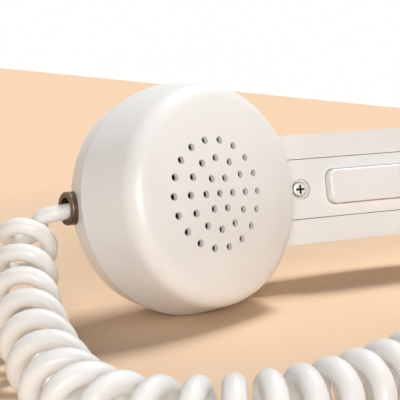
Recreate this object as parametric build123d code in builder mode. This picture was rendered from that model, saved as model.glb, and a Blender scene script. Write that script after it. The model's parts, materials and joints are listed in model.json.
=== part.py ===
from build123d import *
import math
import os

# A corded telephone handset with its curly cord and plug. It lies on its long side on a table, on
# the cones of its two cups, leaning back a little. Lengths are in millimetres, angles in degrees.
# World frame: +Z up, +X along the handset from the mouthpiece to the earpiece, the two faces look
# towards -Y. The origin is on the table, under the middle of the handset.

# ---- Driving dimensions: outside form ----
GRIP_LENGTH = 89.0          # flat inner strip, from cup to cup
GRIP_WIDTH = 33.6
GRIP_DEPTH = 21.0           # strip to back, at mid-length
GRIP_EDGE_RADIUS = 7.6      # long edges beside the strip
BACK_EDGE_RADIUS = 9.0      # long edges of the grip's back
STRIP_WIDTH = 18.4          # the inner strip belongs to the front shell
CUP_RADIUS = 33.0           # at a cup's parting plane
CUP_LEAN = 15.8             # each cup leans in towards the other
CUP_HEIGHT = 22.1           # parting plane to the middle of the sound holes
FRONT_DRAFT = 9.9           # a cup narrows towards its face
REAR_DRAFT = 9.4            # and towards its back, where it lies on the table
FACE_DOME_RADIUS = 90.0
FACE_SLOPE = 4.8            # the face leans in a little more than its cup
FACE_OFFSET = 3.4           # middle of the sound holes, outwards from the cup's axis
FACE_EDGE_RADIUS = 6.0
BACK_ARC_RADIUS = 228.0     # the back is one long arc
BOWL_EDGE_RADIUS = 5.0      # where a bowl's cone meets the back
WALL = 2.2
SEAM_GAP = 0.2              # between the two shells
LIP_THICKNESS = 1.3
LIP_DEPTH = 2.0             # the front shell's lip reaches this far into the rear shell
FIT_GAP = 0.15              # lip and weights to the inside of the wall

# ---- Sound holes and capsule wells ----
HOLE_RADIUS = 1.0
HOLE_RING_RADII = (0.0, 4.6, 9.5, 14.5)
HOLE_RING_COUNTS = (1, 6, 12, 18)
WELL_RADIUS = 18.2          # inside of the round rib behind each face
WELL_WALL = 1.4
WELL_DEPTH = 12.6           # down from the middle of the face
CAPSULE_GAP = 0.15          # a capsule in its well, radially
CLOTH_THICKNESS = 0.6

# ---- Call bar, its springs, switch and board ----
BAR_LENGTH = 54.0
BAR_WIDTH = 10.5
BAR_RISE = 3.2
BAR_CORNER = 2.5
BAR_EDGE_RADIUS = 0.8
BAR_GAP = 0.25              # between the bar and its opening, all round
BAR_TRAVEL = 1.0
FLANGE_RIM = 1.0            # the bar's flange holds it behind the strip
FLANGE_THICKNESS = 1.2
STOP_GAP = 0.05             # bar to strip at rest, and bar to plunger
PLUNGER_RADIUS = 1.7
PLUNGER_GAP = 0.05          # plunger in the switch, radially
PLUNGER_STAND = 1.4         # plunger above the switch
PLUNGER_LENGTH = 3.0
SWITCH_SIZE = 6.0
SWITCH_HEIGHT = 3.6
BOARD_LENGTH = 52.0
BOARD_WIDTH = 19.0
BOARD_THICKNESS = 1.0
POST_X = 22.0
POST_Y = 7.8
POST_RADIUS = 1.2
STAKE_RADIUS = 0.7
STAKE_GAP = 0.05
SPRING_X = 14.0             # each side of the switch
SPRING_RADIUS = 1.7         # to the middle of its wire
SPRING_WIRE = 0.4
SPRING_PITCH = 0.75
PEG_RADIUS = 1.2
PEG_LENGTH = 1.4

# ---- Grip screws ----
SCREW_INSET = 8.8           # from the end of the strip
SCREW_HEAD_RADIUS = 2.4
SCREW_HEAD_HEIGHT = 1.6
SCREW_SHANK_RADIUS = 1.45
SCREW_LENGTH = 12.0
SCREW_RECESS_RADIUS = 3.2
SCREW_RECESS_DEPTH = 2.0
SCREW_GAP = 0.05            # shank in the rear boss, radially
CROSS_LENGTH = 2.8
CROSS_WIDTH = 0.7
CROSS_DEPTH = 0.9
FRONT_BOSS_RADIUS = 4.4
FRONT_BOSS_DEPTH = 4.2
REAR_BOSS_RADIUS = 3.4

# ---- Receiver, microphone and weights ----
GASKET_WIDTH = 2.6
GASKET_THICKNESS = 1.0
BASKET_DEPTH = 5.2
BASKET_WALL = 0.8
DIAPHRAGM_THICKNESS = 0.25
COIL_RADIUS = 6.6           # voice coil, to the middle of its wall
COIL_WALL = 0.5
COIL_HEIGHT = 2.4
MAGNET_RADIUS = 5.8
MAGNET_HEIGHT = 2.2
PLATE_HEIGHT = 0.8
YOKE_RADIUS = 8.6
YOKE_WALL = 1.2
BOOT_HEIGHT = 6.0
MIC_RADIUS = 4.85
MIC_HEIGHT = 5.0
LEAD_DROP = 9.0             # a lead leaves its capsule or clamp straight for this far
LEAD_PAD_INSET = 1.5        # where a lead meets the board, from the board's end
LEAD_PAD_Y = 5.0
WEIGHT_LENGTH = 27.0
WEIGHT_WIDTH = 26.0
WEIGHT_HEIGHT = 4.8         # over the bowl's floor, on the cup's axis
LEAD_RADIUS = 0.7

# ---- Cord, ferrule and plug ----
WIRE_RADIUS = 2.3
COIL_OUTER_RADIUS = 8.8     # the curly cord's outside
FERRULE_RADIUS = 4.6
FERRULE_REACH = 34.1        # front rim, outwards from the cup's axis
FERRULE_DROP = 7.5          # below the parting plane
FERRULE_INNER = 28.0        # its inner end, from the cup's axis
FERRULE_GAP = 0.05          # ferrule in the shell, and cord in the ferrule
FERRULE_EDGE_RADIUS = 0.5
FERRULE_FLARE = 0.7         # its bore widens to the mouth, so that the cord can bend
FERRULE_FLARE_DEPTH = 4.5
CLAMP_RADIUS = 3.4
CLAMP_LENGTH = 3.5
PLUG_LENGTH = 12.4
PLUG_WIDTH = 7.7
PLUG_HEIGHT = 5.8
PLUG_EDGE = 0.4
PLUG_HOLD = 2.5             # cord inside the plug
CONTACT_PITCH = 1.02
CONTACT_WIDTH = 0.4
CONTACT_LENGTH = 3.6
CONTACT_DEPTH = 1.6
CONTACT_SIDES = (-1.5, -0.5, 0.5, 1.5)
LATCH_WIDTH = 3.2
LATCH_LENGTH = 10.6
LATCH_THICKNESS = 0.9
LATCH_RISE = 13.0
LATCH_GAP = 0.3

# ---- Derived sizes ----
LEAN_BACK = math.degrees(math.asin(math.sin(math.radians(REAR_DRAFT)) / math.cos(math.radians(CUP_LEAN))))
CUP_X = GRIP_LENGTH / 2 + CUP_RADIUS * math.cos(math.radians(CUP_LEAN))
CUP_Z = CUP_RADIUS * math.sin(math.radians(CUP_LEAN))
FROM_BASE = (Align.CENTER, Align.CENTER, Align.MIN)
FROM_TOP = (Align.CENTER, Align.CENTER, Align.MAX)
BEYOND = 2 * CUP_RADIUS      # cutting bodies reach this far past the handset


def back_z(x, inset=0.0):
    """Height of the handset's back at x, from the strip."""
    return BACK_ARC_RADIUS - GRIP_DEPTH - math.sqrt((BACK_ARC_RADIUS - inset) ** 2 - x**2)


def at(plane, x=0.0, y=0.0, z=0.0):
    """The same plane, moved along its own axes."""
    return Plane(plane.location * Pos(x, y, z))


def upright(plane):
    """A plane through the axis of `plane`: its x stays, its y is the axis."""
    return Plane(plane.location * Rotation(90, 0, 0))


def across(plane):
    """A plane whose normal is the x axis of `plane`; its x is y and its y is z."""
    return Plane(origin=plane.origin, x_dir=plane.y_dir, z_dir=plane.x_dir)


def cup_plane(body, side):
    """Parting plane of a cup: -1 is the mouthpiece, +1 the earpiece. Its x points to the grip."""
    turn = 0 if side < 0 else 180
    lean = Pos(side * CUP_X, 0, CUP_Z) * Rotation(0, -side * CUP_LEAN, 0) * Rotation(0, 0, turn)
    return Plane(body.location * lean)


def face_plane(cup):
    """Middle of a cup's sound holes, square to the face."""
    return Plane(cup.location * Pos(-FACE_OFFSET, 0, CUP_HEIGHT) * Rotation(0, FACE_SLOPE, 0))


def cup_form(cup, inset):
    """One cup as a solid of revolution under its domed, sloping face."""
    above = CUP_HEIGHT + FACE_EDGE_RADIUS
    below = GRIP_DEPTH + CUP_Z + WALL
    mid = CUP_RADIUS - inset
    with BuildPart() as form:
        with BuildSketch(upright(cup)):
            with BuildLine():
                Polyline(
                    (0, -below),
                    (mid - below * math.tan(math.radians(REAR_DRAFT)), -below),
                    (mid, 0),
                    (mid - above * math.tan(math.radians(FRONT_DRAFT)), above),
                    (0, above),
                    close=True,
                )
            make_face()
        revolve(axis=Axis(cup.origin, cup.z_dir))
        with Locations(at(face_plane(cup), z=-FACE_DOME_RADIUS)):
            Sphere(FACE_DOME_RADIUS - inset, rotation=(90, 0, 0), mode=Mode.INTERSECT)
        dome = form.faces().filter_by(GeomType.SPHERE)[0]
        fillet(dome.edges().filter_by(GeomType.LINE, reverse=True), FACE_EDGE_RADIUS - inset)
    return form.part


def side_form(body, inset):
    """The space over the long arc of the handset's back, as a block."""
    end_x = CUP_X + CUP_RADIUS + WALL
    end_z = back_z(end_x, inset)
    with BuildPart() as form:
        with BuildSketch(upright(body)):
            with BuildLine():
                ThreePointArc((-end_x, end_z), (0, inset - GRIP_DEPTH), (end_x, end_z))
                Polyline((end_x, end_z), (end_x, BEYOND), (-end_x, BEYOND), (-end_x, end_z))
            make_face()
        extrude(amount=BEYOND, both=True)
    return form.part


def handset_form(body, inset):
    """The whole handset as one solid, or the same form a little smaller by `inset` all round."""
    half_width = GRIP_WIDTH / 2 - inset
    section = across(body)
    side_block = side_form(body, inset)
    with BuildPart() as form:
        with BuildSketch(section) as grip:
            with BuildLine():
                Polyline(
                    (-half_width, -inset),
                    (half_width, -inset),
                    (half_width, inset - GRIP_DEPTH),
                    (-half_width, inset - GRIP_DEPTH),
                    close=True,
                )
            make_face()
            corners = grip.vertices().sort_by(Axis(section.origin, section.y_dir))
            fillet(corners[2:], GRIP_EDGE_RADIUS - inset)
            fillet(corners[:2], BACK_EDGE_RADIUS - inset)
        extrude(amount=GRIP_LENGTH / 2 + CUP_RADIUS, both=True)
        add(side_block, mode=Mode.INTERSECT)
        for side in (-1, 1):
            cup = cup_plane(body, side)
            with BuildPart(mode=Mode.PRIVATE) as bowl:
                add(cup_form(cup, inset))
                add(side_block, mode=Mode.INTERSECT)
                cones = bowl.faces().filter_by(GeomType.CONE).sort_by(Axis(cup.origin, cup.z_dir))
                lowest = cones[0].edges().filter_by(GeomType.BSPLINE)
                fillet(lowest, BOWL_EDGE_RADIUS - inset)
            add(bowl.part)
    return form.part


# ---- The handset lies down: its lean is set by the cones, its height by its own lowest point ----
LEAN = math.radians(LEAN_BACK)
draft_body = Plane(origin=(0, 0, 0), x_dir=(1, 0, 0), z_dir=(0, -math.cos(LEAN), math.sin(LEAN)))
laid = handset_form(draft_body, 0.0).bounding_box()
BODY = Plane(
    origin=(0, -(laid.min.Y + laid.max.Y) / 2, -laid.min.Z),
    x_dir=draft_body.x_dir,
    z_dir=draft_body.z_dir,
)
MOUTH = cup_plane(BODY, -1)
EAR = cup_plane(BODY, 1)
MOUTH_FACE = face_plane(MOUTH)
EAR_FACE = face_plane(EAR)
print("body origin", BODY.origin, "lean back", round(LEAN_BACK, 3))
outside = handset_form(BODY, 0.0)
inside = handset_form(BODY, WALL)
snug = handset_form(BODY, WALL + FIT_GAP)


def front_region(gap):
    """The space of the front shell: both cups above their parting planes, and the strip."""
    with BuildPart() as region:
        for cup in (MOUTH, EAR):
            with Locations(at(cup, x=CUP_RADIUS, z=gap)):
                Box(BEYOND * 2, BEYOND * 2, BEYOND, align=(Align.MAX, Align.CENTER, Align.MIN))
        with Locations(at(BODY, z=-WALL)):
            Box(GRIP_LENGTH + 2 * (WALL - gap), STRIP_WIDTH - 2 * gap, 2 * WALL, align=FROM_BASE)
    return region.part


# ---- Front shell: both faces and the inner strip, one moulding ----
SCREW_X = GRIP_LENGTH / 2 - SCREW_INSET
FLANGE_TOP = -(WALL + STOP_GAP)
FLANGE_BOTTOM = FLANGE_TOP - FLANGE_THICKNESS
PLUNGER_TOP = FLANGE_BOTTOM - STOP_GAP
SWITCH_TOP = PLUNGER_TOP - PLUNGER_STAND
BOARD_TOP = SWITCH_TOP - SWITCH_HEIGHT
BOARD_BOTTOM = BOARD_TOP - BOARD_THICKNESS
INNER_DOME = FACE_DOME_RADIUS - WALL
WELL_TOP = -WALL / 2 - (WELL_RADIUS + WELL_WALL) ** 2 / (2 * FACE_DOME_RADIUS)
SEAT_TOP = math.sqrt(INNER_DOME**2 - WELL_RADIUS**2) - FACE_DOME_RADIUS
LIP_RADIUS = CUP_RADIUS - WALL - LIP_THICKNESS
POSTS = ((POST_X, POST_Y), (POST_X, -POST_Y), (-POST_X, POST_Y), (-POST_X, -POST_Y))

with BuildPart() as lips:
    for cup in (MOUTH, EAR):
        with Locations(at(cup, z=-LIP_DEPTH)):
            Cylinder(CUP_RADIUS, 2 * LIP_DEPTH, align=FROM_BASE)
    add(snug, mode=Mode.INTERSECT)
    for cup in (MOUTH, EAR):
        with Locations(at(cup, z=-LIP_DEPTH)):
            Cylinder(LIP_RADIUS, 2 * LIP_DEPTH, align=FROM_BASE, mode=Mode.SUBTRACT)

with BuildPart() as front_shell:
    add(outside)
    add(inside, mode=Mode.SUBTRACT)
    add(front_region(SEAM_GAP / 2), mode=Mode.INTERSECT)
    for cup in (MOUTH, EAR):
        with Locations(at(cup, z=SEAM_GAP / 2)):
            Cylinder(CUP_RADIUS - WALL / 2, LIP_DEPTH, align=FROM_BASE)
            Cylinder(LIP_RADIUS, LIP_DEPTH, align=FROM_BASE, mode=Mode.SUBTRACT)
    add(lips.part)
    for face in (MOUTH_FACE, EAR_FACE):
        with Locations(at(face, z=WELL_TOP)):
            Cylinder(WELL_RADIUS + WELL_WALL, WELL_DEPTH + WELL_TOP, align=FROM_TOP)
        with Locations(at(face, z=SEAT_TOP)):
            Cylinder(WELL_RADIUS, WELL_DEPTH + SEAT_TOP, align=FROM_TOP, mode=Mode.SUBTRACT)
        for radius, count in zip(HOLE_RING_RADII, HOLE_RING_COUNTS):
            with BuildSketch(at(face, z=WALL)):
                if count == 1:
                    Circle(HOLE_RADIUS)
                else:
                    with PolarLocations(radius, count):
                        Circle(HOLE_RADIUS)
            extrude(amount=SEAT_TOP - 2 * WALL, mode=Mode.SUBTRACT)
    for side in (-1, 1):
        with Locations(at(BODY, x=side * SCREW_X, z=-WALL)):
            Cylinder(FRONT_BOSS_RADIUS, FRONT_BOSS_DEPTH - WALL, align=FROM_TOP)
        with Locations(at(BODY, x=side * SCREW_X)):
            Cylinder(SCREW_RECESS_RADIUS, SCREW_RECESS_DEPTH, align=FROM_TOP, mode=Mode.SUBTRACT)
            Cylinder(SCREW_SHANK_RADIUS + FIT_GAP, FRONT_BOSS_DEPTH, align=FROM_TOP, mode=Mode.SUBTRACT)
    with BuildSketch(BODY):
        RectangleRounded(BAR_LENGTH + 2 * BAR_GAP, BAR_WIDTH + 2 * BAR_GAP, BAR_CORNER + BAR_GAP)
    extrude(amount=-WALL, mode=Mode.SUBTRACT)
    for x, y in POSTS:
        with Locations(at(BODY, x, y, -WALL)):
            Cylinder(POST_RADIUS, -WALL - BOARD_TOP, align=FROM_TOP)
        with Locations(at(BODY, x, y, BOARD_TOP)):
            Cylinder(STAKE_RADIUS, BOARD_THICKNESS + STAKE_RADIUS, align=FROM_TOP)

# ---- Rear shell: both bowls and the grip's channel, one moulding ----
CORD_EXIT = Plane(
    origin=MOUTH.from_local_coords((-FERRULE_REACH, 0, -FERRULE_DROP)),
    x_dir=MOUTH.y_dir,
    z_dir=-MOUTH.x_dir,
)
FERRULE_LENGTH = FERRULE_REACH - FERRULE_INNER
BOSS_TOP = -(FRONT_BOSS_DEPTH + SEAM_GAP)
BOSS_FOOT = back_z(SCREW_X) + WALL / 2
SCREW_TIP = SCREW_RECESS_DEPTH + SCREW_LENGTH

with BuildPart() as rear_shell:
    add(outside)
    add(inside, mode=Mode.SUBTRACT)
    add(front_region(-SEAM_GAP / 2), mode=Mode.SUBTRACT)
    for side in (-1, 1):
        with Locations(at(BODY, x=side * SCREW_X, z=BOSS_TOP)):
            Cylinder(REAR_BOSS_RADIUS, BOSS_TOP - BOSS_FOOT, align=FROM_TOP)
            Cylinder(
                SCREW_SHANK_RADIUS + SCREW_GAP,
                SCREW_TIP + BOSS_TOP + SCREW_GAP,
                align=FROM_TOP,
                mode=Mode.SUBTRACT,
            )
    with Locations(at(CORD_EXIT, z=FERRULE_RADIUS)):
        Cylinder(
            FERRULE_RADIUS + FERRULE_GAP,
            FERRULE_RADIUS + FERRULE_LENGTH,
            align=FROM_TOP,
            mode=Mode.SUBTRACT,
        )
        Cylinder(
            CLAMP_RADIUS + FIT_GAP,
            FERRULE_RADIUS + FERRULE_LENGTH + CLAMP_LENGTH + FIT_GAP,
            align=FROM_TOP,
            mode=Mode.SUBTRACT,
        )


def grip_screw(side):
    """Pan-head screw with a cross recess, from the strip into a boss of the rear shell."""
    seat = at(BODY, x=side * SCREW_X, z=-SCREW_RECESS_DEPTH)
    with BuildPart() as screw:
        with Locations(seat):
            Cylinder(SCREW_HEAD_RADIUS, SCREW_HEAD_HEIGHT, align=FROM_BASE)
        top = screw.faces().sort_by(Axis(seat.origin, seat.z_dir))[-1]
        fillet(top.edges(), SCREW_HEAD_HEIGHT / 2)
        with Locations(seat):
            Cylinder(SCREW_SHANK_RADIUS, SCREW_LENGTH, align=FROM_TOP)
        with Locations(at(seat, z=SCREW_HEAD_HEIGHT)):
            Box(CROSS_LENGTH, CROSS_WIDTH, CROSS_DEPTH, align=FROM_TOP, mode=Mode.SUBTRACT)
            Box(CROSS_WIDTH, CROSS_LENGTH, CROSS_DEPTH, align=FROM_TOP, mode=Mode.SUBTRACT)
    return screw


grip_screw_mouth = grip_screw(-1)
grip_screw_ear = grip_screw(1)

# ---- Call bar, with the flange that keeps it in and the pegs for its springs ----
with BuildPart() as call_bar:
    with BuildSketch(at(BODY, z=FLANGE_TOP)):
        RectangleRounded(BAR_LENGTH, BAR_WIDTH, BAR_CORNER)
    extrude(amount=BAR_RISE - FLANGE_TOP)
    top_face = call_bar.faces().sort_by(Axis(BODY.origin, BODY.z_dir))[-1]
    fillet(top_face.edges(), BAR_EDGE_RADIUS)
    with BuildSketch(at(BODY, z=FLANGE_TOP)):
        RectangleRounded(BAR_LENGTH + 2 * FLANGE_RIM, BAR_WIDTH + 2 * FLANGE_RIM, BAR_CORNER)
    extrude(amount=-FLANGE_THICKNESS)
    for side in (-1, 1):
        with Locations(at(BODY, x=side * SPRING_X, z=FLANGE_BOTTOM)):
            Cylinder(PEG_RADIUS, PEG_LENGTH, align=FROM_TOP)


def bar_spring(side):
    """Return spring on a peg of the bar, at the length it has when the bar is pressed."""
    height = FLANGE_BOTTOM - BAR_TRAVEL - BOARD_TOP - SPRING_WIRE - 2 * STOP_GAP
    start = at(BODY, x=side * SPRING_X, z=FLANGE_BOTTOM - SPRING_WIRE / 2 - STOP_GAP / 2)
    with BuildPart() as spring:
        with BuildLine() as wire:
            Helix(SPRING_PITCH, height, SPRING_RADIUS, center=start.origin, direction=-start.z_dir)
        with BuildSketch(Plane(origin=wire.line @ 0, z_dir=wire.line % 0)):
            Circle(SPRING_WIRE / 2)
        sweep(path=wire.line, is_frenet=True)
    return spring


bar_spring_mouth = bar_spring(-1)
bar_spring_ear = bar_spring(1)

# ---- Switch and its board, staked to the strip's posts ----
with BuildPart(at(BODY, z=BOARD_TOP)) as switch_board:
    Box(BOARD_LENGTH, BOARD_WIDTH, BOARD_THICKNESS, align=FROM_TOP)
    for x, y in POSTS:
        with Locations((x, y, 0)):
            Cylinder(STAKE_RADIUS + STAKE_GAP, BOARD_THICKNESS, align=FROM_TOP, mode=Mode.SUBTRACT)

with BuildPart(at(BODY, z=BOARD_TOP)) as switch_body:
    Box(SWITCH_SIZE, SWITCH_SIZE, SWITCH_HEIGHT, align=FROM_BASE)
    with Locations((0, 0, SWITCH_HEIGHT)):
        Cylinder(
            PLUNGER_RADIUS + PLUNGER_GAP,
            PLUNGER_LENGTH - PLUNGER_STAND + BAR_TRAVEL + STOP_GAP,
            align=FROM_TOP,
            mode=Mode.SUBTRACT,
        )

with BuildPart(at(BODY, z=PLUNGER_TOP)) as switch_plunger:
    Cylinder(PLUNGER_RADIUS, PLUNGER_LENGTH, align=FROM_TOP)

# ---- Microphone and receiver, each in its well ----
CAPSULE_RADIUS = WELL_RADIUS - CAPSULE_GAP
SEAT = SEAT_TOP - STOP_GAP
BELOW_CLOTH = SEAT - CLOTH_THICKNESS
DIAPHRAGM_TOP = BELOW_CLOTH - GASKET_THICKNESS
BASKET_TOP = DIAPHRAGM_TOP - DIAPHRAGM_THICKNESS
BASKET_BOTTOM = BASKET_TOP - BASKET_DEPTH
YOKE_HEIGHT = YOKE_WALL + MAGNET_HEIGHT + PLATE_HEIGHT

with BuildPart(at(MOUTH_FACE, z=SEAT)) as cloth_mouth:
    Cylinder(CAPSULE_RADIUS, CLOTH_THICKNESS, align=FROM_TOP)

with BuildPart(at(EAR_FACE, z=SEAT)) as cloth_ear:
    Cylinder(CAPSULE_RADIUS, CLOTH_THICKNESS, align=FROM_TOP)

with BuildPart(at(MOUTH_FACE, z=BELOW_CLOTH)) as mic_boot:
    Cylinder(CAPSULE_RADIUS, BOOT_HEIGHT, align=FROM_TOP)
    Cylinder(MIC_RADIUS, BOOT_HEIGHT, align=FROM_TOP, mode=Mode.SUBTRACT)

with BuildPart(at(MOUTH_FACE, z=BELOW_CLOTH)) as mic_capsule:
    Cylinder(MIC_RADIUS, MIC_HEIGHT, align=FROM_TOP)

with BuildPart(at(EAR_FACE, z=BELOW_CLOTH)) as receiver_gasket:
    Cylinder(CAPSULE_RADIUS, GASKET_THICKNESS, align=FROM_TOP)
    Cylinder(CAPSULE_RADIUS - GASKET_WIDTH, GASKET_THICKNESS, align=FROM_TOP, mode=Mode.SUBTRACT)

with BuildPart(at(EAR_FACE, z=DIAPHRAGM_TOP)) as receiver_diaphragm:
    Cylinder(CAPSULE_RADIUS, DIAPHRAGM_THICKNESS, align=FROM_TOP)

with BuildPart(at(EAR_FACE, z=BASKET_TOP)) as receiver_basket:
    Cylinder(CAPSULE_RADIUS, BASKET_DEPTH, align=FROM_TOP)
    Cylinder(
        CAPSULE_RADIUS - BASKET_WALL, BASKET_DEPTH - BASKET_WALL, align=FROM_TOP, mode=Mode.SUBTRACT
    )
    Cylinder(YOKE_RADIUS, BASKET_DEPTH, align=FROM_TOP, mode=Mode.SUBTRACT)

with BuildPart(at(EAR_FACE, z=BASKET_TOP)) as voice_coil:
    Cylinder(COIL_RADIUS + COIL_WALL / 2, COIL_HEIGHT, align=FROM_TOP)
    Cylinder(COIL_RADIUS - COIL_WALL / 2, COIL_HEIGHT, align=FROM_TOP, mode=Mode.SUBTRACT)

with BuildPart(at(EAR_FACE, z=BASKET_BOTTOM)) as receiver_yoke:
    Cylinder(YOKE_RADIUS, YOKE_HEIGHT, align=FROM_BASE)
    with Locations((0, 0, YOKE_WALL)):
        Cylinder(YOKE_RADIUS - YOKE_WALL, YOKE_HEIGHT, align=FROM_BASE, mode=Mode.SUBTRACT)

with BuildPart(at(EAR_FACE, z=BASKET_BOTTOM + YOKE_WALL)) as receiver_magnet:
    Cylinder(MAGNET_RADIUS, MAGNET_HEIGHT, align=FROM_BASE)

with BuildPart(at(EAR_FACE, z=BASKET_BOTTOM + YOKE_WALL + MAGNET_HEIGHT)) as receiver_plate:
    Cylinder(MAGNET_RADIUS, PLATE_HEIGHT, align=FROM_BASE)


def well_ring(face, top):
    """Ring pressed into a well, behind its capsule."""
    with BuildPart(at(face, z=top)) as ring:
        Cylinder(CAPSULE_RADIUS, GASKET_THICKNESS, align=FROM_TOP)
        Cylinder(CAPSULE_RADIUS - GASKET_WIDTH, GASKET_THICKNESS, align=FROM_TOP, mode=Mode.SUBTRACT)
    return ring


well_ring_mouth = well_ring(MOUTH_FACE, BELOW_CLOTH - BOOT_HEIGHT)
well_ring_ear = well_ring(EAR_FACE, BASKET_BOTTOM)


BOWL_DEPTH = (CUP_Z - back_z(CUP_X, WALL)) * math.cos(math.radians(CUP_LEAN))


def weight(cup):
    """Steel weight glued to the floor of a bowl: its underside follows the shell."""
    with BuildPart() as block:
        with Locations(at(cup, z=WEIGHT_HEIGHT - BOWL_DEPTH)):
            Box(WEIGHT_LENGTH, WEIGHT_WIDTH, GRIP_DEPTH, align=FROM_TOP)
        add(snug, mode=Mode.INTERSECT)
    return block


weight_mouth = weight(MOUTH)
weight_ear = weight(EAR)


# ---- Tubes: cords and leads ----
def bend_radii(points):
    """The largest arc at each inner point, 0.45 of its shorter run."""
    corners = [Vector(*point) for point in points]
    radii = []
    for before, here, after in zip(corners, corners[1:], corners[2:]):
        turn = math.radians((here - before).get_angle(after - here))
        shorter = min((here - before).length, (after - here).length)
        radii.append(0.45 * shorter / math.tan(turn / 2))
    return radii


def tube(points, radius):
    """A round tube along straight runs joined by arcs."""
    with BuildPart() as body:
        with BuildLine() as path:
            FilletPolyline(*points, radius=bend_radii(points))
        with BuildSketch(Plane(origin=path.line @ 0, z_dir=path.line % 0)):
            Circle(radius)
        sweep(path=path.line)
    length = sum(edge.length for edge in path.edges())
    share = body.part.volume / (math.pi * radius**2 * length)
    print("tube", round(length, 1), "radii", [round(r, 1) for r in bend_radii(points)], round(share, 4))
    return body


def in_body(x, y, z):
    return BODY.from_local_coords(Vector(x, y, z))


def on_table(x, y, z):
    """A point given from the table right under the middle of the strip."""
    return Vector(BODY.origin.X + x, BODY.origin.Y + y, z)


# ---- Ferrule, clamp and the cord from the handset to the plug ----
with BuildPart(CORD_EXIT) as cord_ferrule:
    Cylinder(FERRULE_RADIUS, FERRULE_LENGTH, align=FROM_TOP)
    rim = cord_ferrule.faces().sort_by(Axis(CORD_EXIT.origin, CORD_EXIT.z_dir))[-1]
    fillet(rim.edges(), FERRULE_EDGE_RADIUS)
    Cylinder(WIRE_RADIUS + FERRULE_GAP, FERRULE_LENGTH, align=FROM_TOP, mode=Mode.SUBTRACT)
    Cone(
        WIRE_RADIUS + FERRULE_GAP,
        WIRE_RADIUS + FERRULE_GAP + FERRULE_FLARE,
        FERRULE_FLARE_DEPTH,
        align=FROM_TOP,
        mode=Mode.SUBTRACT,
    )

with BuildPart(at(CORD_EXIT, z=-FERRULE_LENGTH)) as cord_clamp:
    Cylinder(CLAMP_RADIUS, CLAMP_LENGTH, align=FROM_TOP)
    Cylinder(WIRE_RADIUS + FERRULE_GAP, CLAMP_LENGTH, align=FROM_TOP, mode=Mode.SUBTRACT)

TAIL_INSIDE = 11.5          # cord inside the ferrule's rim
TAIL_OUTSIDE = 2.5          # straight out of it
near_tail = [
    CORD_EXIT.from_local_coords((0, 0, -TAIL_INSIDE)),
    CORD_EXIT.from_local_coords((0, 0, TAIL_OUTSIDE)),
    on_table(-125.6, -13.2, 26.0),
]
cord_tail_near = tube(near_tail, WIRE_RADIUS)

curly_route = [
    on_table(-122.0, -6.7, 24.5),
    on_table(-124.0, -15.7, 16.8),
    on_table(-126.0, -29.2, 12.2),
    on_table(-127.3, -46.2, 9.5),
    on_table(-128.4, -63.7, 8.8),
    on_table(-128.9, -81.2, 8.8),
    on_table(-128.2, -95.7, 8.8),
    on_table(-124.2, -108.0, 8.8),
    on_table(-115.5, -116.2, 8.8),
    on_table(-102.5, -120.4, 8.8),
    on_table(-88.4, -120.8, 8.8),
    on_table(-74.5, -117.0, 8.8),
    on_table(-59.5, -110.5, 8.8),
    on_table(-44.0, -104.8, 8.8),
    on_table(-28.0, -101.5, 8.8),
    on_table(-11.0, -101.0, 8.8),
    on_table(6.0, -103.0, 8.8),
    on_table(23.0, -105.5, 8.8),
    on_table(40.0, -106.0, 8.8),
    on_table(56.0, -103.5, 8.8),
    on_table(71.0, -98.5, 8.8),
    on_table(84.0, -92.0, 8.8),
]
cord_coil = tube(curly_route, COIL_OUTER_RADIUS)

far_tail = [
    on_table(84.0, -92.0, 2.3),
    on_table(94.7, -86.65, 2.3),
    on_table(101.0, -75.5, 2.3),
    on_table(99.5, -62.5, 2.3),
    on_table(89.5, -54.0, 2.3),
    on_table(76.5, -51.5, 2.6),
    on_table(63.5, -53.1, PLUG_HEIGHT / 2),
]
cord_tail_far = tube(far_tail, WIRE_RADIUS)

# ---- Modular plug, lying with its latch up; PLUG's x points out of its nose ----
heading = far_tail[-1] - far_tail[-2]
flat_heading = Vector(heading.X, heading.Y, 0).normalized()
PLUG = Plane(
    origin=Vector(far_tail[-1].X, far_tail[-1].Y, 0) - flat_heading * PLUG_HOLD,
    x_dir=flat_heading,
    z_dir=(0, 0, 1),
)
NOSE_FIRST = (Align.MAX, Align.CENTER, Align.MIN)
TAIL_FIRST = (Align.MIN, Align.CENTER, Align.MIN)

with BuildPart(PLUG) as plug_body:
    Box(PLUG_LENGTH, PLUG_WIDTH, PLUG_HEIGHT, align=TAIL_FIRST)
    chamfer(plug_body.edges().filter_by(Axis(PLUG.origin, PLUG.x_dir)), PLUG_EDGE)
    with Locations((PLUG_LENGTH, 0, 0)):
        for step in CONTACT_SIDES:
            with Locations((-PLUG_EDGE, step * CONTACT_PITCH, 0)):
                Box(CONTACT_LENGTH, CONTACT_WIDTH, CONTACT_DEPTH, align=NOSE_FIRST, mode=Mode.SUBTRACT)


def plug_contact(step):
    """Gilt blade in its slot in the plug's underside, just short of the table."""
    with BuildPart(at(PLUG, x=PLUG_LENGTH - PLUG_EDGE, y=step * CONTACT_PITCH, z=PLUG_EDGE)) as blade:
        Box(CONTACT_LENGTH, CONTACT_WIDTH, CONTACT_DEPTH - PLUG_EDGE, align=NOSE_FIRST)
    return blade


plug_contacts = [plug_contact(step) for step in CONTACT_SIDES]

LATCH_HINGE = at(PLUG, x=PLUG_LENGTH - LATCH_THICKNESS, z=PLUG_HEIGHT + LATCH_GAP + LATCH_THICKNESS / 2)
with BuildPart(Plane(LATCH_HINGE.location * Rotation(0, LATCH_RISE, 0))) as plug_latch:
    Box(LATCH_LENGTH, LATCH_WIDTH, LATCH_THICKNESS, align=(Align.MAX, Align.CENTER, Align.CENTER))
    with Locations(Rotation(90, 0, 0)):
        Cylinder(LATCH_THICKNESS / 2, LATCH_WIDTH)
print("latch hinge", LATCH_HINGE.origin, "axis", LATCH_HINGE.y_dir, "plug nose", at(PLUG, x=PLUG_LENGTH).origin)

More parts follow.
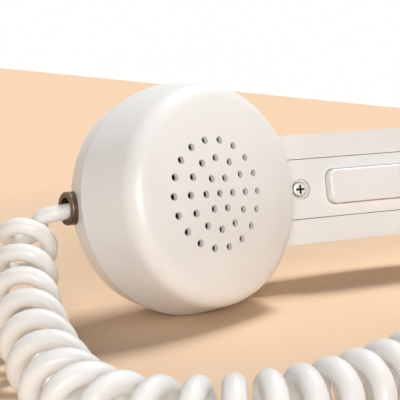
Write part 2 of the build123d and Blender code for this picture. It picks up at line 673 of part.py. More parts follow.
# ---- Leads inside the handset ----
PAD_X = BOARD_LENGTH / 2 - LEAD_PAD_INSET
mic_back = at(MOUTH_FACE, z=BELOW_CLOTH - MIC_HEIGHT)
mic_lead = tube(
    [
        mic_back.origin,
        mic_back.from_local_coords((0, 0, -LEAD_DROP)),
        in_body(-53.0, 8.0, -5.0),
        in_body(-38.0, 9.0, -13.0),
        in_body(-PAD_X, LEAD_PAD_Y, -14.0),
        in_body(-PAD_X, LEAD_PAD_Y, BOARD_BOTTOM),
    ],
    LEAD_RADIUS,
)
receiver_back = at(EAR_FACE, z=BASKET_BOTTOM)
receiver_lead = tube(
    [
        receiver_back.origin,
        receiver_back.from_local_coords((0, 0, -LEAD_DROP)),
        in_body(53.0, 8.0, -5.0),
        in_body(38.0, 9.0, -13.0),
        in_body(PAD_X, LEAD_PAD_Y, -14.0),
        in_body(PAD_X, LEAD_PAD_Y, BOARD_BOTTOM),
    ],
    LEAD_RADIUS,
)
line_lead = tube(
    [
        near_tail[0],
        CORD_EXIT.from_local_coords((0, 0, -TAIL_INSIDE - LEAD_DROP)),
        in_body(-72.0, -9.0, 1.0),
        in_body(-53.0, -9.0, -6.0),
        in_body(-38.0, -9.0, -13.0),
        in_body(-PAD_X, -LEAD_PAD_Y, -14.0),
        in_body(-PAD_X, -LEAD_PAD_Y, BOARD_BOTTOM),
    ],
    LEAD_RADIUS,
)

# ---- Export: one STEP file a piece ----
pieces = {
    "front_shell": front_shell,
    "rear_shell": rear_shell,
    "grip_screw_mouth": grip_screw_mouth,
    "grip_screw_ear": grip_screw_ear,
    "call_bar": call_bar,
    "bar_spring_mouth": bar_spring_mouth,
    "bar_spring_ear": bar_spring_ear,
    "switch_board": switch_board,
    "switch_body": switch_body,
    "switch_plunger": switch_plunger,
    "cloth_mouth": cloth_mouth,
    "cloth_ear": cloth_ear,
    "mic_boot": mic_boot,
    "mic_capsule": mic_capsule,
    "well_ring_mouth": well_ring_mouth,
    "well_ring_ear": well_ring_ear,
    "receiver_gasket": receiver_gasket,
    "receiver_diaphragm": receiver_diaphragm,
    "receiver_basket": receiver_basket,
    "voice_coil": voice_coil,
    "receiver_yoke": receiver_yoke,
    "receiver_magnet": receiver_magnet,
    "receiver_plate": receiver_plate,
    "weight_mouth": weight_mouth,
    "weight_ear": weight_ear,
    "mic_lead": mic_lead,
    "receiver_lead": receiver_lead,
    "line_lead": line_lead,
    "cord_ferrule": cord_ferrule,
    "cord_clamp": cord_clamp,
    "cord_tail_near": cord_tail_near,
    "cord_coil": cord_coil,
    "cord_tail_far": cord_tail_far,
    "plug_body": plug_body,
    "plug_latch": plug_latch,
}
for number, contact in enumerate(plug_contacts, start=1):
    pieces[f"plug_contact_{number}"] = contact
os.makedirs("parts", exist_ok=True)
for name, piece in pieces.items():
    piece.part.label = name
    export_step(piece.part, f"parts/{name}.step")
    print(name, len(piece.part.solids()), round(piece.part.volume, 1))
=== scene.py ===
# %% [markdown]
# # A corded telephone handset
#
# The handset lies on its side on a table, and its curly cord loops round in front of it. This
# lesson gives them a camera, a table, light and finishes, and makes what the hard model can't hold:
# the wire of the cord, turn by turn. Lengths are in metres.

# %% Load the hard pieces
import bpy
import json
import math
from mathutils import Matrix, Vector


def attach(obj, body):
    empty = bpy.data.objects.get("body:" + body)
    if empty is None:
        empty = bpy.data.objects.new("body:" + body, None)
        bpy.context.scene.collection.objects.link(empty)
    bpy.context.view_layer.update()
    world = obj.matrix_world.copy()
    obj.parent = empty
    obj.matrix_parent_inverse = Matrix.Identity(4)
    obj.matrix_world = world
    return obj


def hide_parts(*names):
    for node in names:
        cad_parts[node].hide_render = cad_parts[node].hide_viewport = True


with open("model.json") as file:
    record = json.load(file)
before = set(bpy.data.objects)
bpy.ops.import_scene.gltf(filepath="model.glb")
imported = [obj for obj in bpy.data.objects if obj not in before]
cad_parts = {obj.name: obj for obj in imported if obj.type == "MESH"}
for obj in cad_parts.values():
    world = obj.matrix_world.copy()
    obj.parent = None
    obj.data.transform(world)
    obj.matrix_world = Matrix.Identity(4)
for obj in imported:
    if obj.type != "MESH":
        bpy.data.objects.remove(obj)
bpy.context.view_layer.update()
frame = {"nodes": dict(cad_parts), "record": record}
nodes = frame["nodes"]
scene = bpy.context.scene


def rounded(values, digits=4):
    return tuple(round(value, digits) for value in values)


# %% [markdown]
# ## Camera
#
# A small object looks natural from a seated person's eye, close by and a little above the table. The
# camera could be aimed with a Track To constraint, but that can't tip it sideways, and a hand-held
# camera is always tipped a degree or two. So its place, its look and its top are written down and
# make its matrix. A long lens keeps the near cup from looking swollen.

# %% Camera
CAMERA_PLACE = Vector((-0.1619, -0.2630, 0.0706))
CAMERA_LOOK = Vector((0.3232, 0.9360, -0.1391))
CAMERA_TOP = Vector((0.0831, 0.1184, 0.9895))
FOCAL_LENGTH = 87.75
NEAREST_SEEN = 0.01


def aim_camera(place, look, top, focal_length):
    """A camera at `place` that looks along `look`, with `top` upwards in its picture."""
    data = bpy.data.cameras.new("camera")
    data.lens = focal_length
    data.clip_start = NEAREST_SEEN
    camera = bpy.data.objects.new("camera", data)
    scene.collection.objects.link(camera)
    back = -look.normalized()
    right = top.cross(back).normalized()
    turn = Matrix((right, back.cross(right), back)).transposed()
    camera.matrix_world = Matrix.Translation(place) @ turn.to_4x4()
    return camera


scene.camera = aim_camera(CAMERA_PLACE, CAMERA_LOOK, CAMERA_TOP, FOCAL_LENGTH)
scene.view_settings.view_transform = "Standard"
print("camera:", rounded(scene.camera.location, 3))

# %% [markdown]
# ## Finishes
#
# Every finish below is a Principled shader with a little noise in its colour, its roughness and its
# surface, because even new plastic is never one flat colour. An image texture would need a file and
# a UV map. Noise in object coordinates needs neither, and it keeps its scale in millimetres whatever
# the piece. A few helpers make the shared nodes, and each finish adds what is its own.

# %% Helper: a finish with plain values


def shader_of(tree):
    return tree.nodes["Principled BSDF"]


def new_finish(name, base, rough, metallic=0.0):
    """A material whose shader has these plain values, and its node tree."""
    material = bpy.data.materials.new(name)
    material.use_nodes = True
    shader = shader_of(material.node_tree)
    shader.inputs["Base Color"].default_value = (*base, 1)
    shader.inputs["Roughness"].default_value = rough
    shader.inputs["Metallic"].default_value = metallic
    return material, material.node_tree


# %% Helper: noise, and a ramp over it


def add_noise(tree, scale, detail=3.0, stretch=(1, 1, 1)):
    """Noise in object coordinates. `scale` is in bumps a metre."""
    place = tree.nodes.new("ShaderNodeTexCoord")
    mapping = tree.nodes.new("ShaderNodeMapping")
    mapping.inputs["Scale"].default_value = stretch
    noise = tree.nodes.new("ShaderNodeTexNoise")
    noise.inputs["Scale"].default_value = scale
    noise.inputs["Detail"].default_value = detail
    tree.links.new(place.outputs["Object"], mapping.inputs["Vector"])
    tree.links.new(mapping.outputs["Vector"], noise.inputs["Vector"])
    return noise.outputs["Fac"]


def add_ramp(tree, source, stops):
    """A colour ramp over `source`: (position, colour) pairs."""
    ramp = tree.nodes.new("ShaderNodeValToRGB")
    elements = ramp.color_ramp.elements
    while len(elements) < len(stops):
        elements.new(0.5)
    for element, (position, colour) in zip(elements, stops):
        element.position = position
        element.color = (*colour, 1)
    tree.links.new(source, ramp.inputs["Fac"])
    return ramp.outputs["Color"]


def grey(value):
    return (value, value, value)


# %% Helper: relief


def add_relief(tree, source, height, strength=1.0, below=None):
    """Bump of that height, on top of the relief `below`."""
    bump = tree.nodes.new("ShaderNodeBump")
    bump.inputs["Distance"].default_value = height
    bump.inputs["Strength"].default_value = strength
    tree.links.new(source, bump.inputs["Height"])
    if below is not None:
        tree.links.new(below, bump.inputs["Normal"])
    tree.links.new(bump.outputs["Normal"], shader_of(tree).inputs["Normal"])
    return bump.outputs["Normal"]


# %% Helper: a colour and a gloss that wander
CLOUDS_BETWEEN = (0.35, 0.65)
SMEARS_BETWEEN = (0.3, 0.7)
SMEARS_FINER = 3
SMEAR_DETAIL = 5.0


def vary(tree, base, scale, amount, rough, rough_amount):
    """Cloudy colour a little darker and lighter than `base`, and roughness that wanders."""
    darker = [channel * (1 - amount) for channel in base]
    lighter = [min(channel * (1 + amount / 2), 1.0) for channel in base]
    duller, shinier = grey(rough + rough_amount), grey(rough - rough_amount)
    clouds = add_noise(tree, scale)
    smears = add_noise(tree, scale * SMEARS_FINER, SMEAR_DETAIL)
    colour = add_ramp(tree, clouds, tuple(zip(CLOUDS_BETWEEN, (darker, lighter))))
    gloss = add_ramp(tree, smears, tuple(zip(SMEARS_BETWEEN, (shinier, duller))))
    tree.links.new(colour, shader_of(tree).inputs["Base Color"])
    tree.links.new(gloss, shader_of(tree).inputs["Roughness"])


# %% [markdown]
# ## White plastic
#
# The shells are moulded in a warm white that has yellowed a shade. The mould leaves a very fine
# orange-peel skin, which breaks up the edge of each highlight, and years of handling leave scuffs:
# short, thin, greyish marks. They could be painted on, but then they would have to be painted again
# whenever a shell changes. So the scuffs come from noise that is stretched into streaks and cut off
# high, so that only its peaks show.

# %% White plastic for the shells and the bar
SHELL_WHITE = (0.83, 0.825, 0.815)
BAR_WHITE = (0.84, 0.835, 0.825)
SCUFF_GREY = (0.42, 0.36, 0.30)
SCUFFS_FROM = 0.735
SCUFFS_FULL = 0.78
SCUFF_STRENGTH = 0.65


def lay_over(tree, colour, mask):
    """`colour` over the colour that the shader has now, where `mask` is white."""
    target = shader_of(tree).inputs["Base Color"]
    mix = tree.nodes.new("ShaderNodeMix")
    mix.data_type = "RGBA"
    mix.inputs["B"].default_value = (*colour, 1)
    tree.links.new(target.links[0].from_socket, mix.inputs["A"])
    tree.links.new(mask, mix.inputs["Factor"])
    tree.links.new(mix.outputs["Result"], target)


def white_plastic(name, base, rough):
    """Glossy moulded plastic with scuffs, orange peel and a slight waviness."""
    material, tree = new_finish(name, base, rough)
    shader_of(tree).inputs["Specular IOR Level"].default_value = 0.5
    shader_of(tree).inputs["Coat Weight"].default_value = 0.12
    shader_of(tree).inputs["Coat Roughness"].default_value = 0.12
    vary(tree, base, scale=26, amount=0.035, rough=rough, rough_amount=0.05)
    streaks = add_noise(tree, scale=300, detail=6.0, stretch=(1.0, 0.25, 1.0))
    scuffs = add_ramp(tree, streaks, ((SCUFFS_FROM, grey(0)), (SCUFFS_FULL, grey(SCUFF_STRENGTH))))
    lay_over(tree, SCUFF_GREY, scuffs)
    peel = add_relief(tree, add_noise(tree, scale=1800, detail=2.0), height=0.00002, strength=0.25)
    waves = add_noise(tree, scale=120, detail=2.0)
    add_relief(tree, waves, height=0.00004, strength=0.3, below=peel)
    return material


shell_finish = white_plastic("shell_white", SHELL_WHITE, 0.34)
bar_finish = white_plastic("bar_white", BAR_WHITE, 0.28)
print("white plastics:", shell_finish.name, bar_finish.name)

# %% [markdown]
# ## Metals, rubbers and the rest
#
# The small pieces get plainer finishes, but each has its own grain: turned metal has fine rings or
# streaks, rubber is dull with a soft sheen, and the dust cloth behind the holes is woven. A weave
# could be modelled thread by thread, but nobody sees it closer than through a sound hole. Two sets
# of waves at right angles do. Each kind is one function, and a table gives each piece its values.

# %% Helpers: metal, dull plastic and woven cloth


def metal(name, base, rough):
    """Metal with a fine grain."""
    material, tree = new_finish(name, base, rough, metallic=1.0)
    vary(tree, base, scale=400, amount=0.12, rough=rough, rough_amount=0.06)
    add_relief(tree, add_noise(tree, scale=2600, detail=2.0), height=0.00002, strength=0.4)
    return material


def dull(name, base, rough, grain=1500, height=0.00003):
    """Rubber, plain plastic or cast iron. `grain` is in bumps a metre."""
    material, tree = new_finish(name, base, rough)
    vary(tree, base, scale=90, amount=0.08, rough=rough, rough_amount=0.05)
    add_relief(tree, add_noise(tree, grain), height, strength=0.5)
    return material


def woven(name, base, threads):
    """Cloth with two sets of threads at right angles."""
    material, tree = new_finish(name, base, rough=0.9)
    vary(tree, base, scale=200, amount=0.2, rough=0.88, rough_amount=0.05)
    place = tree.nodes.new("ShaderNodeTexCoord")
    below = None
    for direction in ("X", "Z"):
        wave = tree.nodes.new("ShaderNodeTexWave")
        wave.bands_direction = direction
        wave.inputs["Scale"].default_value = threads
        tree.links.new(place.outputs["Object"], wave.inputs["Vector"])
        below = add_relief(tree, wave.outputs["Fac"], height=0.0001, strength=0.7, below=below)
    return material


# %% Finishes of the small pieces
finishes = {
    "shell_white": shell_finish,
    "bar_white": bar_finish,
    "screw_steel": metal("screw_steel", (0.78, 0.76, 0.72), 0.36),
    "spring_steel": metal("spring_steel", (0.56, 0.56, 0.55), 0.3),
    "board": dull("board", (0.05, 0.20, 0.08), 0.5),
    "switch_black": dull("switch_black", (0.03, 0.03, 0.032), 0.45),
    "dust_cloth": woven("dust_cloth", (0.012, 0.011, 0.010), threads=350),
    "soft_rubber": dull("soft_rubber", (0.05, 0.05, 0.05), 0.7),
    "capsule_can": metal("capsule_can", (0.72, 0.72, 0.73), 0.3),
    "inner_plastic": dull("inner_plastic", (0.62, 0.61, 0.58), 0.5),
    "film": dull("film", (0.62, 0.56, 0.40), 0.25),
    "copper": metal("copper", (0.72, 0.33, 0.16), 0.35),
    "plated_steel": metal("plated_steel", (0.64, 0.64, 0.64), 0.28),
    "magnet": metal("magnet", (0.22, 0.22, 0.24), 0.4),
    "weight_iron": dull("weight_iron", (0.16, 0.16, 0.17), 0.6, grain=700, height=0.0001),
    "lead_skin": dull("lead_skin", (0.40, 0.05, 0.04), 0.45),
    "ferrule_dark": metal("ferrule_dark", (0.16, 0.115, 0.085), 0.38),
    "gilt": metal("gilt", (0.90, 0.66, 0.27), 0.22),
}
print("finishes:", len(finishes))

# %% [markdown]
# ## Clear plug
#
# A modular plug is moulded in clear plastic. Transmission alone makes a small thick block look like
# black glass in some lights, so a touch of pale body colour stays in it.

# %% Clear plastic for the plug
PLUG_PALE = (0.86, 0.88, 0.88)


def clear_plastic(name):
    """Clear moulded plastic that keeps some body colour."""
    material, tree = new_finish(name, PLUG_PALE, rough=0.16)
    shader_of(tree).inputs["Transmission Weight"].default_value = 0.55
    shader_of(tree).inputs["IOR"].default_value = 1.49
    add_relief(tree, add_noise(tree, scale=500, detail=2.0), height=0.00003, strength=0.3)
    return material


finishes["plug_clear"] = clear_plastic("plug_clear")
print("clear plastic:", finishes["plug_clear"].name)

# %% [markdown]
# ## Skin of the cord
#
# The wire has a soft white skin, a little duller and creamier than the shells. The shells' plastic
# would do from afar, but its coat gives each turn a hard glint, so the cord gets a finish of its own.

# %% Soft plastic for the cord
CORD_WHITE = (0.83, 0.82, 0.80)


def cord_plastic(name):
    """Soft white plastic with a faint grain."""
    material, tree = new_finish(name, CORD_WHITE, rough=0.36)
    vary(tree, CORD_WHITE, scale=70, amount=0.05, rough=0.36, rough_amount=0.07)
    add_relief(tree, add_noise(tree, scale=1400, detail=2.0), height=0.00003, strength=0.3)
    return material


finishes["cord_white"] = cord_plastic("cord_white")
print("cord's skin:", finishes["cord_white"].name)

# %% [markdown]
# ## Dress the pieces
#
# The frame says which finish each hard piece asks for. A loop is shorter than a line a piece, and it
# stops with an error if a piece asks for a finish that nobody made.

# %% Put each finish on its pieces
slot_of = {part["node"]: part["material_slot"] for part in frame["record"]["subparts"]}


def dress(piece, finish):
    """Take off what the piece wears and give it that finish."""
    piece.data.materials.clear()
    piece.data.materials.append(finish)


for name, piece in nodes.items():
    dress(piece, finishes[slot_of[name]])
print("dressed:", len(nodes))

# %% [markdown]
# ## Dark inside the sound holes
#
# Little light gets into the sound holes, so the shade in them is painted: below the outermost rim the
# walls get a dark colour instead of lit white plastic. A second material on the
# walls of 74 holes would need those walls picked out one by one. A mask is easier: the face is part
# of a ball, so the depth below it is known from the distance to the middle of that ball. The dust
# cloth behind the holes lies square to the middle of the face and gives the way there.

# %% Helpers: a mask round a point, and masks put together


def add_distance(tree, point, near, far):
    """1 nearer than `near` to that point of the object, 0 further than `far`."""
    place = tree.nodes.new("ShaderNodeTexCoord")
    apart = tree.nodes.new("ShaderNodeVectorMath")
    apart.operation = "DISTANCE"
    apart.inputs[1].default_value = point
    level = tree.nodes.new("ShaderNodeMapRange")
    level.inputs["From Min"].default_value = near
    level.inputs["From Max"].default_value = far
    level.inputs["To Min"].default_value = 1.0
    level.inputs["To Max"].default_value = 0.0
    tree.links.new(place.outputs["Object"], apart.inputs[0])
    tree.links.new(apart.outputs["Value"], level.inputs["Value"])
    return level.outputs["Result"]


def combine(tree, operation, first, second, clamp=False):
    node = tree.nodes.new("ShaderNodeMath")
    node.operation = operation
    node.use_clamp = clamp
    tree.links.new(first, node.inputs[0])
    tree.links.new(second, node.inputs[1])
    return node.outputs["Value"]


# %% Darken the holes below their rims
DOME_RADIUS = 0.090
CLOTH_DEPTH = 0.0045
LIT_RIM_DEPTH = 0.0012
DEPTH_FADE = 0.0006
HOLES_WITHIN = 0.020
HOLES_FADE = 0.001
# Colour of the painted shade on the hole walls below the rim.
HOLE_SHADE_PAINT = (0.02, 0.018, 0.015)


def middle_of_face(cloth):
    """The middle of the face in front of a dust cloth, and the way out of it."""
    points = [cloth.matrix_world @ vertex.co for vertex in cloth.data.vertices]
    middle = sum(points, Vector()) / len(points)
    largest = max(cloth.data.polygons, key=lambda polygon: polygon.area)
    out = (cloth.matrix_world.to_3x3() @ largest.normal).normalized()
    if out.y > 0:
        out = -out
    return middle + out * CLOTH_DEPTH, out


def paint_shade_in_holes(shell, cloths):
    """Give the shell its own finish, with painted shade in the holes before the cloths. Returns the
    faces' middles.
    """
    finish = shell.data.materials[0].copy()
    finish.name = "front_white"
    tree = finish.node_tree
    to_shell = shell.matrix_world.inverted()
    lit_rim_from = DOME_RADIUS - LIT_RIM_DEPTH
    middles, masks = [], []
    for cloth in cloths:
        middle, out = middle_of_face(cloth)
        ball = to_shell @ (middle - out * DOME_RADIUS)
        deep = add_distance(tree, ball, lit_rim_from - DEPTH_FADE, lit_rim_from)
        near = add_distance(tree, to_shell @ middle, HOLES_WITHIN, HOLES_WITHIN + HOLES_FADE)
        masks.append(combine(tree, "MULTIPLY", deep, near))
        middles.append(middle)
    # Painted shade: the hole walls below the rim get the dark colour.
    lay_over(tree, HOLE_SHADE_PAINT, combine(tree, "MAXIMUM", *masks))
    dress(shell, finish)
    return middles


face_middles = paint_shade_in_holes(nodes["front_shell"], [nodes["cloth_mouth"], nodes["cloth_ear"]])
print("middles of the faces:", [rounded(middle) for middle in face_middles])

# %% [markdown]
# ## Dark cross in each screw
#
# The cross in a screw's head is a recess that lies in shade, and that shade is painted: the cross gets a
# dark colour, while the flat round it keeps the plain steel. The same kind of mask finds it, because a
# very large ball is as good as a plane: what lies below the flat of the head and close to its middle is
# the cross. The flat is found from the faces that look straight out of the grip, the larger ones
# counting for more. The mask is tied to the middle of one head, so each screw has its own steel.

# %% Darken the cross in each screw
CROSS_DEPTH = 0.0001
CROSS_REACH = 0.0016
CROSS_FADE = 0.0002
FAR_BALL = 0.2
FLAT_FROM = 0.97
# Colour of the painted shade in the screws' crosses.
CROSS_SHADE_PAINT = (0.03, 0.026, 0.022)


def flat_of_head(screw):
    """The middle of the flat round the cross, and the way out of it."""
    turned = screw.matrix_world.to_3x3()
    flats = [polygon for polygon in screw.data.polygons if (turned @ polygon.normal).y < -FLAT_FROM]
    area = sum(polygon.area for polygon in flats)
    out = sum((turned @ polygon.normal * polygon.area for polygon in flats), Vector()).normalized()
    centre = sum((polygon.center * polygon.area for polygon in flats), Vector()) / area
    middle = screw.matrix_world @ centre
    top = max((screw.matrix_world @ polygon.center).dot(out) for polygon in flats)
    return middle + out * (top - middle.dot(out)), out


def paint_shade_in_cross(screw):
    """Give the screw its own steel, with painted shade in the cross. Returns the way that its head
    faces.
    """
    middle, out = flat_of_head(screw)
    steel = screw.data.materials[0].copy()
    steel.name = screw.name + "_steel"
    tree = steel.node_tree
    to_screw = screw.matrix_world.inverted()
    edge = FAR_BALL - CROSS_DEPTH
    ball = to_screw @ (middle - out * FAR_BALL)
    below = add_distance(tree, ball, edge - CROSS_DEPTH, edge)
    inside = add_distance(tree, to_screw @ middle, CROSS_REACH, CROSS_REACH + CROSS_FADE)
    # Painted shade: the cross gets the dark colour.
    lay_over(tree, CROSS_SHADE_PAINT, combine(tree, "MULTIPLY", below, inside))
    dress(screw, steel)
    return out


for name in ("grip_screw_mouth", "grip_screw_ear"):
    print(name, "faces", rounded(paint_shade_in_cross(nodes[name]), 2))

# %% [markdown]
# ## Curly cord
#
# The cord is one wire: a short straight tail out of the ferrule, then about 35 turns wound on a
# thin mandrel, then a tail to the plug. A Screw modifier makes a straight spring, and a Curve
# modifier would bend it, but neither lets the tails run on smoothly. So a loop walks along the middle
# line of the coil and steps round it. The middle line is a NURBS curve, read back as a line of points.
# It starts at the handset, comes down to the table and stays on it.

# %% Middle line of the coil
WIRE_RADIUS = 0.0023
COIL_RADIUS = 0.0065
LYING_HEIGHT = COIL_RADIUS + WIRE_RADIUS
CLIMB = [
    (-0.1210, 0.0029, 0.0273),
    (-0.1240, -0.0085, 0.0168),
    (-0.1260, -0.0220, 0.0122),
    (-0.1273, -0.0390, 0.0095),
]
ON_THE_TABLE = [
    (-0.1284, -0.0565),
    (-0.1289, -0.0740),
    (-0.1282, -0.0885),
    (-0.1242, -0.1008),
    (-0.1155, -0.1090),
    (-0.1025, -0.1132),
    (-0.0884, -0.1124),
    (-0.0745, -0.1076),
    (-0.0595, -0.1002),
    (-0.0440, -0.0922),
    (-0.0280, -0.0877),
    (-0.0110, -0.0865),
    (0.0060, -0.0882),
    (0.0230, -0.0915),
    (0.0400, -0.0945),
    (0.0560, -0.0963),
    (0.0710, -0.0913),
    (0.0840, -0.0848),
]


def smooth_line(name, points, resolution=16):
    """Points along a NURBS curve that has `points` as its control points."""
    curve = bpy.data.curves.new(name, "CURVE")
    curve.dimensions = "3D"
    spline = curve.splines.new("NURBS")
    spline.points.add(len(points) - 1)
    for control, point in zip(spline.points, points):
        control.co = (*point, 1)
    spline.order_u = 3
    spline.use_endpoint_u = True
    curve.resolution_u = resolution
    holder = bpy.data.objects.new(name, curve)
    mesh = bpy.data.meshes.new_from_object(holder)
    line = [vertex.co.copy() for vertex in mesh.vertices]
    bpy.data.objects.remove(holder)
    bpy.data.curves.remove(curve)
    bpy.data.meshes.remove(mesh)
    return line


def length_of(line):
    return sum((b - a).length for a, b in zip(line, line[1:]))


middle_line = smooth_line("coil_middle", CLIMB + [(x, y, LYING_HEIGHT) for x, y in ON_THE_TABLE])
print("middle line of the coil:", round(length_of(middle_line), 4), "m")

# %% [markdown]
# ## Spacing of the turns
#
# The spacing changes along the cord. Where it climbs to the handset its own weight draws the turns
# apart, and in the bend they stand closest. An even coil would need one number. This one has a few
# places along the middle line with the spacing there, and a straight change between them.

# %% Places and spacings along the middle line
TURN_SPACING = [
    (0.0, 0.0085),
    (0.014, 0.0110),
    (0.036, 0.0152),
    (0.060, 0.0178),
    (0.078, 0.0170),
    (0.094, 0.0107),
    (0.114, 0.0079),
    (0.129, 0.0066),
    (0.149, 0.0067),
    (0.174, 0.0087),
    (0.330, 0.0087),
]


def at_length(line, distance):
    """The point that far along a line, and the line's direction there."""
    for a, b in zip(line, line[1:]):
        step = (b - a).length
        if distance <= step:
            return a.lerp(b, distance / step), (b - a).normalized()
        distance -= step
    return line[-1].copy(), (line[-1] - line[-2]).normalized()


def between(pairs, distance):
    """The value at `distance` on a line through (distance, value) pairs."""
    for (start, low), (end, high) in zip(pairs, pairs[1:]):
        if distance <= end:
            return low + (high - low) * (distance - start) / (end - start)
    return pairs[-1][1]


for distance in (0.05, 0.14):
    place = at_length(middle_line, distance)[0]
    print("at", rounded(place, 3), "the turns are", round(between(TURN_SPACING, distance), 4), "m apart")

# %% [markdown]
# ## Winding the coil
#
# Going round the middle line needs a direction that is always square to it and never spins by itself.
# A fixed up direction would do on a flat table, but the cord climbs to the handset, so the direction
# is carried along: at each step it is turned just as much as the line turns. The minus sign in the
# rotation makes it a left-handed coil.

# %% Wind the wire round the middle line
FIRST_PLACE = 0.5
LAST_PLACE = 0.3
FIRST_SIZE = 0.55
STEPS_A_TURN = 26


def wind(line, radius, spacing, first_place, last_place, first_size):
    """Points of a helix round `line`, whose turns are as far apart as `spacing` says. It starts at
    `first_place` of a turn and ends at `last_place`, both counted from the top. The first half turn
    grows from `first_size` of the radius. Also returns the number of turns."""
    length = length_of(line)
    direction = (line[1] - line[0]).normalized()
    upwards = Vector((0, 0, 1))
    side = (upwards - direction * upwards.dot(direction)).normalized()
    points = []
    distance, turned = 0.0, first_place
    while distance < length:
        here, along = at_length(line, distance)
        side = direction.rotation_difference(along) @ side
        direction = along
        size = min(first_size + turned - first_place, 1.0)
        around = Matrix.Rotation(-2 * math.pi * turned, 3, along)
        points.append(here + around @ side * radius * size)
        turned += 1 / STEPS_A_TURN
        distance += between(spacing, distance) / STEPS_A_TURN
    while (turned - last_place) % 1 > 1 / STEPS_A_TURN:
        points.pop()
        turned -= 1 / STEPS_A_TURN
    return points, turned - first_place


coil_points, coil_turns = wind(
    middle_line, COIL_RADIUS, TURN_SPACING, FIRST_PLACE, LAST_PLACE, FIRST_SIZE
)
print("turns:", round(coil_turns, 1), "wire in them:", round(length_of(coil_points), 3), "m")

# %% [markdown]
# ## Tails
#
# A tail could be joined to the coil with a sharp corner inside a turn, where few would look, but no
# wire bends like that. So each tail is its own NURBS curve, which leaves the coil the way the wire is
# going there: one control point lies on the wire and the next a little further along its direction.
# The near tail passes behind the first turn and joins it at its lowest point, so that first half turn
# is wound tighter. The far tail comes down to the table and turns back to the plug.

# %% Join the tails to the coil
NEAR_TAIL = [
    (-0.1000, -0.0006, 0.0324),
    (-0.1105, -0.0029, 0.0320),
    (-0.1182, -0.0004, 0.0309),
]
FAR_TAIL = [
    (0.0947, -0.0794, 0.0023),
    (0.1010, -0.0683, 0.0023),
    (0.0995, -0.0553, 0.0023),
    (0.0895, -0.0468, 0.0023),
    (0.0765, -0.0443, 0.0026),
    (0.0635, -0.0459, 0.0029),
]
LEAD_IN = 0.0045
LEAD_OUT = 0.005

first_way = (coil_points[1] - coil_points[0]).normalized()
last_way = (coil_points[-1] - coil_points[-2]).normalized()
tail_in = smooth_line("tail_in", [*NEAR_TAIL, coil_points[0] - first_way * LEAD_IN, coil_points[0]])
tail_out = smooth_line("tail_out", [coil_points[-1], coil_points[-1] + last_way * LEAD_OUT, *FAR_TAIL])
wire_line = tail_in[:-1] + coil_points + tail_out[1:]
print("whole wire:", round(length_of(wire_line), 3), "m")

# %% [markdown]
# ## Skin round the wire's line
#
# A curve with a round bevel gives a tube in one step. Here rings of points are made by hand instead:
# each is turned from the one before only as much as the line turns, so the faces don't twist, both
# ends are closed, and the mesh is ready to be measured and exported.

# %% Helper: a tube along a line
TUBE_SIDES = 14


def tube_mesh(name, line, radius, sides):
    """A closed round tube along a line of points."""
    vertices, faces = [], []
    direction = (line[1] - line[0]).normalized()
    side = direction.orthogonal().normalized()
    for index, here in enumerate(line):
        before = line[max(index - 1, 0)]
        after = line[min(index + 1, len(line) - 1)]
        along = (after - before).normalized()
        side = direction.rotation_difference(along) @ side
        direction = along
        other = along.cross(side)
        for corner in range(sides):
            angle = 2 * math.pi * corner / sides
            vertices.append(here + (side * math.cos(angle) + other * math.sin(angle)) * radius)
    for ring in range(len(line) - 1):
        for corner in range(sides):
            a = ring * sides + corner
            b = ring * sides + (corner + 1) % sides
            faces.append((a, b, b + sides, a + sides))
    faces.append(tuple(reversed(range(sides))))
    faces.append(tuple(range(len(vertices) - sides, len(vertices))))
    mesh = bpy.data.meshes.new(name)
    mesh.from_pydata(vertices, [], faces)
    mesh.shade_smooth()
    return mesh


# %% [markdown]
# ## The cord as a piece
#
# The new mesh rides on the handset, and it takes the place of the three plain tubes that stood for it.
# It is a limp cord that ends in a plug.

cord = bpy.data.objects.new("curly_cord", tube_mesh("curly_cord", wire_line, WIRE_RADIUS, TUBE_SIDES))
scene.collection.objects.link(cord)
cord.data.materials.append(finishes["cord_white"])
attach(cord, "handset")
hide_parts("cord_tail_near", "cord_coil", "cord_tail_far")
print("cord faces:", len(cord.data.polygons))

# %% [markdown]
# ## Table
#
# A plain pale table. A level one would put its far edge level in the picture too, unless it was cut
# to a slant. Here the part near the object is level, and the part behind it is tilted so that its
# edge crosses the picture where the maker wants it. Two rays from the camera give the ends of that
# edge. The table is matt, so that it throws warm light back onto the underside of the shells and
# mirrors no lamp.
#
# A lamp lights the far table less than the near table, which shows as a slow fall in brightness. A
# much larger lamp further away would hide it and would soften the shadow too. Instead the table
# shows its own colour far from the object, to the camera and to what mirrors the table or lets it
# through. The Light Path node tells those rays from the others. Near the object the table is lit as
# usual and keeps the shadow.

# %% Helper: a ray that sees
SEEN_THROUGH = ("Is Glossy Ray", "Is Transmission Ray")


def seeing_ray(tree):
    """1 for a ray from the camera, also after a mirror or a clear piece, and 0 for the others."""
    path = tree.nodes.new("ShaderNodeLightPath")
    sees = path.outputs["Is Camera Ray"]
    for kind in SEEN_THROUGH:
        sees = combine(tree, "ADD", sees, path.outputs[kind], clamp=True)
    return sees


# %% Finish of the table
TABLE_COLOUR = (0.84, 0.62, 0.435)
FAR_COLOUR = (0.965, 0.695, 0.48)
LIT_TO = 0.17
PLAIN_FROM = 0.34


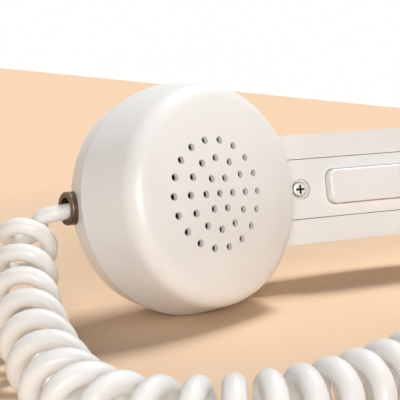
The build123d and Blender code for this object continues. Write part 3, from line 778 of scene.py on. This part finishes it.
def show_plain_far_off(tree, colour):
    """Show `colour` itself to what sees the table further off than PLAIN_FROM from its middle."""
    place = tree.nodes.new("ShaderNodeTexCoord")
    distance = tree.nodes.new("ShaderNodeVectorMath")
    distance.operation = "LENGTH"
    far = tree.nodes.new("ShaderNodeMapRange")
    far.inputs["From Min"].default_value = LIT_TO
    far.inputs["From Max"].default_value = PLAIN_FROM
    glow = tree.nodes.new("ShaderNodeEmission")
    glow.inputs["Color"].default_value = (*colour, 1)
    mix = tree.nodes.new("ShaderNodeMixShader")
    tree.links.new(place.outputs["Object"], distance.inputs[0])
    tree.links.new(distance.outputs["Value"], far.inputs["Value"])
    share = combine(tree, "MULTIPLY", far.outputs["Result"], seeing_ray(tree))
    tree.links.new(share, mix.inputs["Fac"])
    tree.links.new(shader_of(tree).outputs["BSDF"], mix.inputs[1])
    tree.links.new(glow.outputs["Emission"], mix.inputs[2])
    tree.links.new(mix.outputs["Shader"], tree.nodes["Material Output"].inputs["Surface"])


def matt_table(name):
    """A matt pale surface with faint clouds."""
    material, tree = new_finish(name, TABLE_COLOUR, rough=0.85)
    shader_of(tree).inputs["Specular IOR Level"].default_value = 0.1
    vary(tree, TABLE_COLOUR, scale=14, amount=0.03, rough=0.85, rough_amount=0.04)
    show_plain_far_off(tree, FAR_COLOUR)
    return material


table_finish = matt_table("pale_table")
print("table's finish:", table_finish.name, "with", len(table_finish.node_tree.nodes), "nodes")

# %% Table
HALF_TABLE = 2.0
FLAT_TO = 0.35
EDGE_DISTANCE = 1.6
EDGE_LEFT = (-1.0, 0.66)
EDGE_RIGHT = (1.0, 0.46)
EDGE_BEYOND = 2


def along_view(across, up, distance):
    """A point in front of the camera. `across` and `up` run from -1 to 1 over its picture."""
    data = scene.camera.data
    half = data.sensor_width / (2 * data.lens)
    return scene.camera.matrix_world @ (Vector((across * half, up * half, -1)) * distance)


def make_table(finish):
    """A level part, and a tilted part behind it that ends at the edge the camera sees."""
    left = along_view(*EDGE_LEFT, EDGE_DISTANCE)
    right = along_view(*EDGE_RIGHT, EDGE_DISTANCE)
    beyond = (right - left) * EDGE_BEYOND
    corners = [
        (-HALF_TABLE, -HALF_TABLE, 0),
        (HALF_TABLE, -HALF_TABLE, 0),
        (HALF_TABLE, FLAT_TO, 0),
        (-HALF_TABLE, FLAT_TO, 0),
        right + beyond,
        left - beyond,
    ]
    mesh = bpy.data.meshes.new("table")
    mesh.from_pydata(corners, [], [(0, 1, 2, 3), (3, 2, 4, 5)])
    mesh.materials.append(finish)
    table = bpy.data.objects.new("table", mesh)
    scene.collection.objects.link(table)
    return table


table = make_table(table_finish)
print("table edge:", [rounded(vertex.co, 3) for vertex in table.data.vertices[4:]])

# %% [markdown]
# ## Light
#
# One lamp would leave half of the object in the dark, and an even sky would give no shadow. So a small
# high lamp behind and to the right gives the shadow, which falls to the front left, and a wide one
# from the front lights the two faces. The room fills the rest. It is dim as a light and white to the
# camera and in reflections, which the same Light Path rays tell apart.

# %% Lamps
AIM = (-0.06, -0.02, 0.03)


def soft_lamp(name, place, wide, high, watts, colour):
    """An oval area lamp that shines at AIM."""
    data = bpy.data.lights.new(name, "AREA")
    data.shape = "ELLIPSE"
    data.size = wide
    data.size_y = high
    data.energy = watts
    data.color = colour
    lamp = bpy.data.objects.new(name, data)
    lamp.location = place
    lamp.rotation_euler = (Vector(AIM) - Vector(place)).to_track_quat("-Z", "Y").to_euler()
    scene.collection.objects.link(lamp)


soft_lamp("high_window", (0.38, 0.24, 1.08), wide=0.4, high=0.22, watts=11.0, colour=(1.0, 0.99, 0.97))
soft_lamp("front_window", (-0.43, -1.13, 0.30), wide=0.6, high=0.6, watts=9.7, colour=(1.0, 1.0, 1.0))
print("lamps:", [light.name for light in bpy.data.lights])

# %% Room
ROOM_WHITE = (1.0, 1.0, 0.985)
ROOM_LIGHT = 0.15


def bright_room(colour, strength):
    """A room that lights evenly with `strength` and looks white."""
    world = bpy.data.worlds.new("room")
    world.use_nodes = True
    scene.world = world
    tree = world.node_tree
    background = tree.nodes["Background"]
    background.inputs["Color"].default_value = (*colour, 1)
    level = tree.nodes.new("ShaderNodeMapRange")
    level.inputs["To Min"].default_value = strength
    level.inputs["To Max"].default_value = 1.0
    tree.links.new(seeing_ray(tree), level.inputs["Value"])
    tree.links.new(level.outputs["Result"], background.inputs["Strength"])


bright_room(ROOM_WHITE, ROOM_LIGHT)
print("room:", scene.world.name, "lights with", ROOM_LIGHT)
